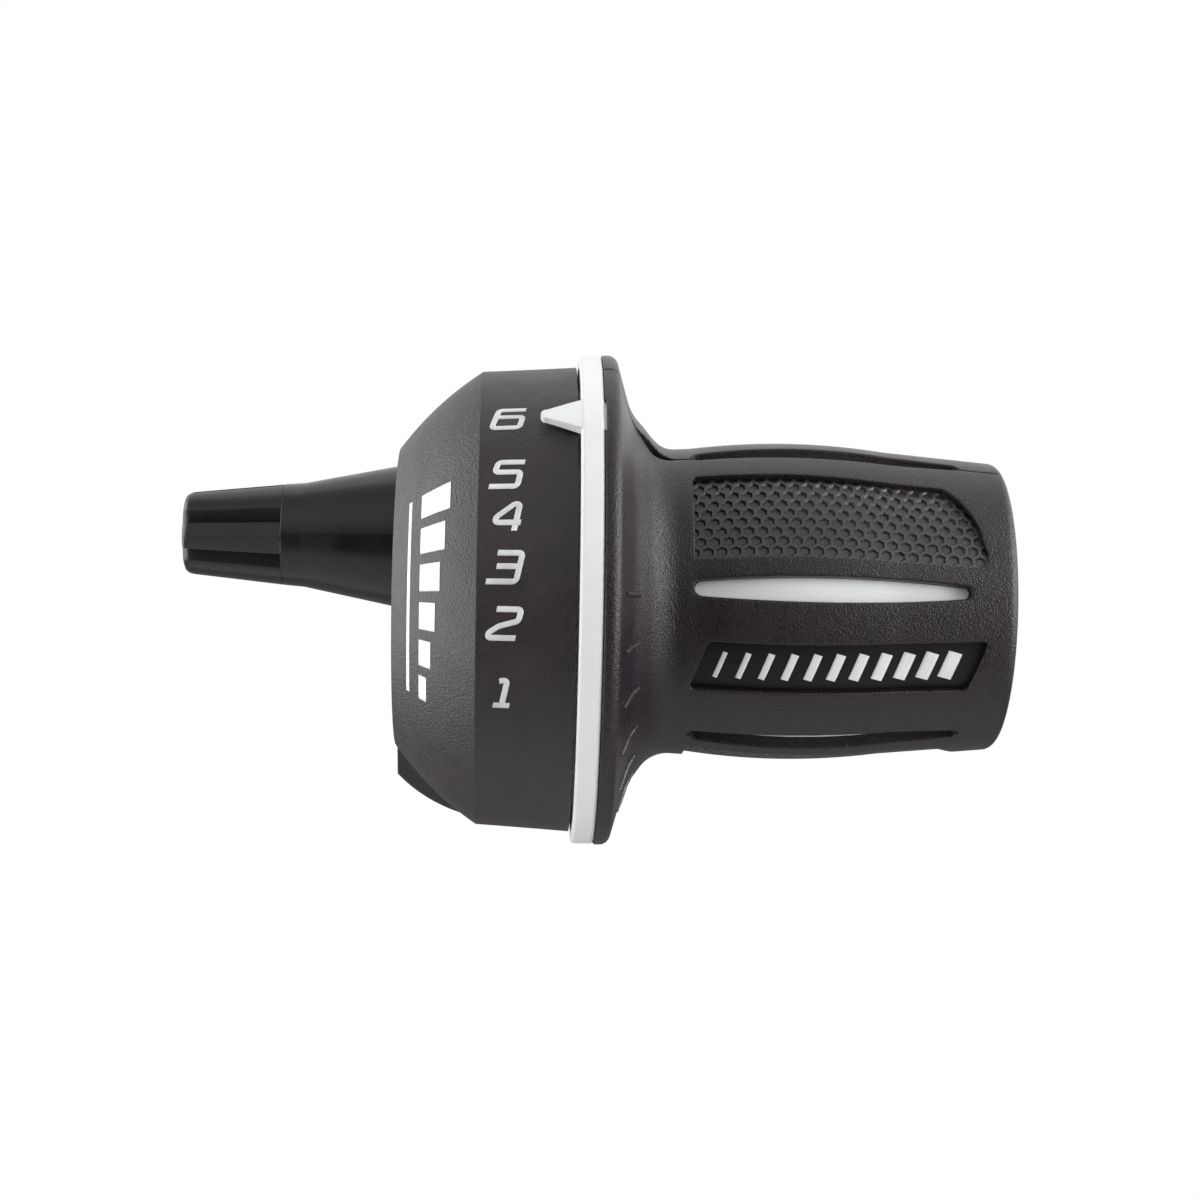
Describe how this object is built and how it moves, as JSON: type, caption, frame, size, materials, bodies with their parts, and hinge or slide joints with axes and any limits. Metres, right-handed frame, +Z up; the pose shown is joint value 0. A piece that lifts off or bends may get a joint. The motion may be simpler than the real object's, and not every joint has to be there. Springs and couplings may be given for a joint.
{
  "type": "twist grip shifter",
  "caption": "Indexed bicycle twist shifter: domed numbered housing clamped on the bar, turning rubber grip with a pointer ring, and a screw adjuster for the cable.",
  "frame": {"origin": "centre of the handlebar bore at the housing's left face, the end with the cable adjuster", "axes": "+X along the bar toward its end and the turning grip, -Y toward the rider and the numbers, +Z up"},
  "size_m": [0.0987, 0.058, 0.058],
  "materials": {
    "housing_plastic": "fine spark-eroded grain",
    "adjuster_plastic": "smooth black",
    "grip_rubber": "leathery moulded grain",
    "white_plastic": "smooth cool white",
    "drum_acetal": "natural acetal",
    "washer_nylon": "natural nylon",
    "spring_steel": "bright spring steel",
    "zinc_steel": "zinc plated",
    "insert_brass": "turned"
  },
  "bodies": {
    "housing": {"housing": "housing_plastic", "clamp_screw": "zinc_steel", "clamp_washer": "zinc_steel", "clamp_nut": "zinc_steel", "thread_insert": "insert_brass", "cable_guide": "washer_nylon", "adjuster_spring": "spring_steel", "slip_washer": "washer_nylon", "retaining_ring": "spring_steel", "detent_spring": "spring_steel"},
    "grip": {"grip_core": "white_plastic", "cable_drum": "drum_acetal", "indicator_ring": "white_plastic", "grip_cover": "grip_rubber"},
    "adjuster_carriage": {"adjuster_washer": "washer_nylon"},
    "adjuster": {"barrel_adjuster": "adjuster_plastic"}
  },
  "joints": [
    {"name": "grip_twist", "type": "hinge", "parent": "housing", "child": "grip", "pos_m": [0, 0, 0], "axis": [1, 0, 0], "range_deg": [0, 70.3], "deforming": ["detent_spring"]},
    {"name": "adjuster_slide", "type": "slide", "parent": "housing", "child": "adjuster_carriage", "axis": [-1, 0, 0], "range_m": [0, 0.004], "deforming": ["adjuster_spring"]},
    {"name": "adjuster_turn", "type": "hinge", "parent": "adjuster_carriage", "child": "adjuster", "pos_m": [0, 0.01926, 0.00759], "axis": [-1, 0, 0], "range_deg": [0, 1440]}
  ],
  "couplings": [
    {"joint": "adjuster_slide", "follows": "adjuster_turn", "m_per_rad": 0.00015915}
  ]
}
